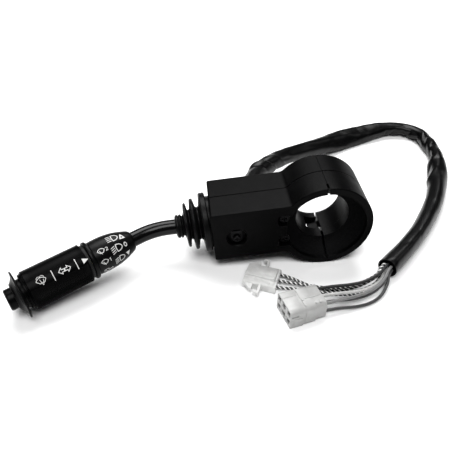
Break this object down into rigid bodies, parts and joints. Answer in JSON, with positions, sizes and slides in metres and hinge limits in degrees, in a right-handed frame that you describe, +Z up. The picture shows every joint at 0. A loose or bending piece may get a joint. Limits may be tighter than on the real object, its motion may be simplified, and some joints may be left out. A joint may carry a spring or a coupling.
{
  "type": "combination stalk switch",
  "caption": "Steering-column stalk switch: split clamp ring and housing, rubber gaiter, cranked lever with rotating wiper sleeve, washer flange, horn button, and a sleeved wiring harness",
  "frame": {"origin": "centre of the column clamp's bore, at the mid-depth of the housing", "axes": "-Y runs along the column towards the driver, +X points away from the stalk, +Z is up as the switch stands on a bench on its clamp ring and the flange at the stalk's tip; the housing is tipped 5.3 degrees about Y, stalk end down"},
  "size_m": [0.3294, 0.2249, 0.06],
  "materials": {
    "case_plastic": "fine matte grain, black",
    "zinc_steel": "bright zinc plate",
    "pin_steel": "bare steel",
    "inner_nylon": "natural nylon",
    "acetal": "dark acetal",
    "board_laminate": "laminate board",
    "contact_brass": "plated brass",
    "grommet_rubber": "moulded rubber",
    "gaiter_rubber": "moulded rubber, satin",
    "lever_paint": "gloss black paint",
    "grip_plastic": "satin black",
    "sleeve_plastic": "ribbed satin black",
    "button_plastic": "satin black",
    "harness_pvc": "soft glossy PVC sleeve",
    "connector_nylon": "milky natural nylon",
    "wire_striped": "PVC, black with a white tracer",
    "wire_black": "PVC, black",
    "wire_light": "PVC, light grey",
    "wire_mid": "PVC, mid grey",
    "wire_dark": "PVC, dark grey"
  },
  "bodies": {
    "housing": {"front_housing": "case_plastic", "rear_housing": "case_plastic", "front_clamp_cap": "case_plastic", "rear_clamp_cap": "case_plastic", "clamp_screw": "zinc_steel", "clamp_nut": "zinc_steel", "case_screws": "zinc_steel", "cap_screw": "zinc_steel", "tab_screw": "zinc_steel", "pivot_lock_tab": "zinc_steel", "front_pivot_pin": "pin_steel", "rear_pivot_pin": "pin_steel", "detent_plate": "acetal", "pawl_guide": "acetal", "contact_board": "board_laminate", "fixed_contacts": "contact_brass", "board_terminals": "contact_brass", "harness_grommet": "grommet_rubber", "gaiter_base": "gaiter_rubber", "harness_sleeve": "harness_pvc", "large_connector": "connector_nylon", "large_connector_terminals": "contact_brass", "small_connector": "connector_nylon", "small_connector_terminals": "contact_brass", "striped_wire_a": "wire_striped", "striped_wire_b": "wire_striped", "striped_wire_c": "wire_striped", "black_wire": "wire_black", "black_striped_wire": "wire_striped", "light_grey_wire": "wire_light", "grey_wire_a": "wire_mid", "grey_wire_b": "wire_mid", "dark_grey_wire": "wire_dark"},
    "yoke": {"indicator_yoke": "inner_nylon", "lever_pin": "pin_steel", "contact_carrier": "inner_nylon", "moving_contacts": "contact_brass", "gaiter_folds": "gaiter_rubber", "detent_spring": "pin_steel"},
    "lever": {"lever_heel": "inner_nylon", "lever_tube": "lever_paint", "gaiter_collar": "gaiter_rubber", "legend_collar": "grip_plastic", "index_ring": "grip_plastic", "wiper_switch_base": "inner_nylon", "wiper_fixed_contacts": "contact_brass", "grip_core": "inner_nylon", "wiper_detent_ball": "pin_steel", "washer_spring": "pin_steel", "horn_spring": "pin_steel", "horn_contact": "contact_brass"},
    "wiper_sleeve": {"rotating_sleeve": "sleeve_plastic", "sleeve_end_cap": "sleeve_plastic", "wiper_rotor": "inner_nylon", "wiper_moving_contacts": "contact_brass"},
    "washer": {"washer_flange": "button_plastic"},
    "horn": {"horn_button": "button_plastic", "horn_rod": "button_plastic"},
    "plunger": {"detent_plunger": "acetal"},
    "pawl": {"cancel_pawl": "acetal"}
  },
  "joints": [
    {"name": "indicator_pivot", "type": "hinge", "parent": "housing", "child": "yoke", "pos_m": [-0.05733, -0.0012, -0.00228], "axis": [0, 1, 0], "range_deg": [-10, 10]},
    {"name": "beam_pivot", "type": "hinge", "parent": "yoke", "child": "lever", "pos_m": [-0.05733, -0.0023, -0.00228], "axis": [-0.0919, 0, 0.9958], "range_deg": [-6, 6]},
    {"name": "wiper_turn", "type": "hinge", "parent": "lever", "child": "wiper_sleeve", "pos_m": [-0.11045, -0.0023, -0.00779], "axis": [-0.8624, -0.5, -0.0796], "range_deg": [-76, 0]},
    {"name": "washer_press", "type": "slide", "parent": "lever", "child": "washer", "axis": [0.8624, 0.5, 0.0796], "range_m": [0, 0.0016], "stiffness_N_per_m": 700, "springref_m": -0.001, "deforming": ["washer_spring"]},
    {"name": "horn_press", "type": "slide", "parent": "lever", "child": "horn", "axis": [0.8624, 0.5, 0.0796], "range_m": [0, 0.0012], "stiffness_N_per_m": 600, "springref_m": -0.001, "deforming": ["horn_spring"]},
    {"name": "detent_slide", "type": "slide", "parent": "yoke", "child": "plunger", "axis": [0.9958, 0, 0.0919], "range_m": [-0.001, 0], "stiffness_N_per_m": 1000, "springref_m": 0.001, "deforming": ["detent_spring"]},
    {"name": "cancel_slide", "type": "slide", "parent": "housing", "child": "pawl", "axis": [0.9958, 0, 0.0919], "range_m": [0, 0.0025]}
  ]
}
